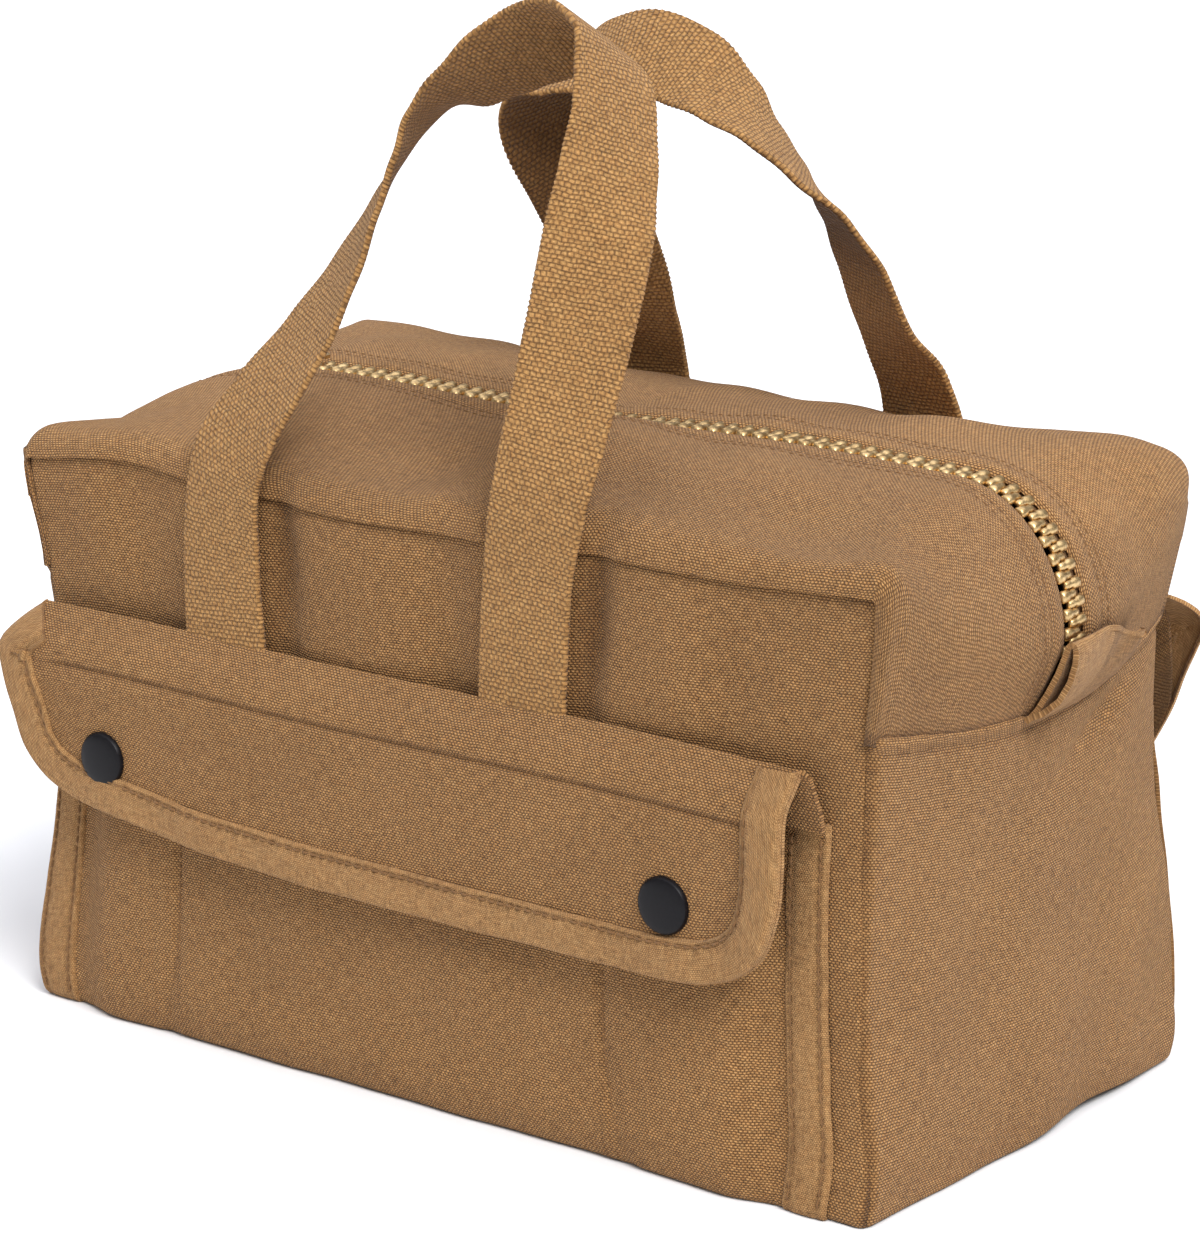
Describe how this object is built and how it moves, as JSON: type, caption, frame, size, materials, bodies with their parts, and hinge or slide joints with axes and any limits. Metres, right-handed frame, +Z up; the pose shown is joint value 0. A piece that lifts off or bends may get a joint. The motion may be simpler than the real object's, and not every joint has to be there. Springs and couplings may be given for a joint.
{
  "type": "canvas carry bag",
  "caption": "Small canvas carry bag with a brass zip over its top, two webbing handles, and an outside pocket under a snap-down flap on each face.",
  "frame": {"origin": "middle of the bottom, on the surface the bag stands on", "axes": "+X along the bag's length, front face at -Y, +Z up"},
  "size_m": [0.3408, 0.1892, 0.3148],
  "materials": {
    "canvas": "heavy tan cotton duck, plain weave, matt",
    "webbing": "thick tan cotton webbing, coarse ribbed weave",
    "binding": "tan twill tape, stitched along both edges",
    "zip_tape": "tan cotton tape",
    "brass": "bright brass, lightly rubbed",
    "snap_cap": "black satin enamel"
  },
  "bodies": {
    "root": {"front_panel": "canvas", "back_panel": "canvas", "bottom_panel": "canvas", "end_panel_left": "canvas", "end_panel_right": "canvas", "top_strip_front_left": "canvas", "zip_tape_front_left": "zip_tape", "zip_teeth_front_left": "brass", "top_strip_front_right": "canvas", "zip_tape_front_right": "zip_tape", "zip_teeth_front_right": "brass", "front_pocket_panel": "canvas", "front_pocket_binding_left": "binding", "front_pocket_binding_right": "binding", "front_flap_root": "canvas", "front_snap_stud_1": "brass", "front_snap_eyelet_1": "brass", "front_snap_stud_2": "brass", "front_snap_eyelet_2": "brass", "top_strip_back_left": "canvas", "zip_tape_back_left": "zip_tape", "zip_teeth_back_left": "brass", "top_strip_back_right": "canvas", "zip_tape_back_right": "zip_tape", "zip_teeth_back_right": "brass", "back_pocket_panel": "canvas", "back_pocket_binding_left": "binding", "back_pocket_binding_right": "binding", "back_flap_root": "canvas", "back_snap_stud_1": "brass", "back_snap_eyelet_1": "brass", "back_snap_stud_2": "brass", "back_snap_eyelet_2": "brass", "end_tab_left": "canvas", "end_tab_right": "canvas"},
    "mouth_front": {"top_strip_front": "canvas", "zip_tape_front": "zip_tape", "zip_teeth_front": "brass"},
    "mouth_back": {"top_strip_back": "canvas", "zip_tape_back": "zip_tape", "zip_teeth_back": "brass"},
    "zip_slider": {"zip_slider": "brass"},
    "zip_pull": {"zip_pull": "brass"},
    "front_handle": {"front_handle": "webbing"},
    "back_handle": {"back_handle": "webbing"},
    "front_flap": {"front_flap": "canvas", "front_flap_binding": "binding", "front_snap_cap_1": "snap_cap", "front_snap_socket_1": "brass", "front_snap_cap_2": "snap_cap", "front_snap_socket_2": "brass"},
    "back_flap": {"back_flap": "canvas", "back_flap_binding": "binding", "back_snap_cap_1": "snap_cap", "back_snap_socket_1": "brass", "back_snap_cap_2": "snap_cap", "back_snap_socket_2": "brass"}
  },
  "joints": [
    {"name": "zip_slide", "type": "slide", "parent": "root", "child": "zip_slider", "axis": [1, 0, 0], "range_m": [0, 0.238]},
    {"name": "zip_pull_swing", "type": "hinge", "parent": "zip_slider", "child": "zip_pull", "pos_m": [-0.119, 0, 0.19385], "axis": [0, -1, 0], "range_deg": [0, 150]},
    {"name": "mouth_front_fold", "type": "hinge", "parent": "root", "child": "mouth_front", "pos_m": [0, -0.0757, 0.177], "axis": [1, 0, 0], "range_deg": [0, 36]},
    {"name": "mouth_back_fold", "type": "hinge", "parent": "root", "child": "mouth_back", "pos_m": [0, 0.0757, 0.177], "axis": [-1, 0, 0], "range_deg": [0, 36]},
    {"name": "front_handle_swing", "type": "hinge", "parent": "root", "child": "front_handle", "pos_m": [0, -0.0809, 0.126], "axis": [1, 0, 0], "range_deg": [0, 45]},
    {"name": "back_handle_swing", "type": "hinge", "parent": "root", "child": "back_handle", "pos_m": [0, 0.0809, 0.126], "axis": [-1, 0, 0], "range_deg": [0, 45]},
    {"name": "front_flap_fold", "type": "hinge", "parent": "root", "child": "front_flap", "pos_m": [0, -0.0826, 0.1245], "axis": [-1, 0, 0], "range_deg": [0, 90]},
    {"name": "back_flap_fold", "type": "hinge", "parent": "root", "child": "back_flap", "pos_m": [0, 0.0826, 0.1245], "axis": [1, 0, 0], "range_deg": [0, 90]}
  ],
  "couplings": [
    {"joint": "mouth_front_fold", "follows": "zip_slide", "rad_per_m": 2.6},
    {"joint": "mouth_back_fold", "follows": "zip_slide", "rad_per_m": 2.6}
  ]
}
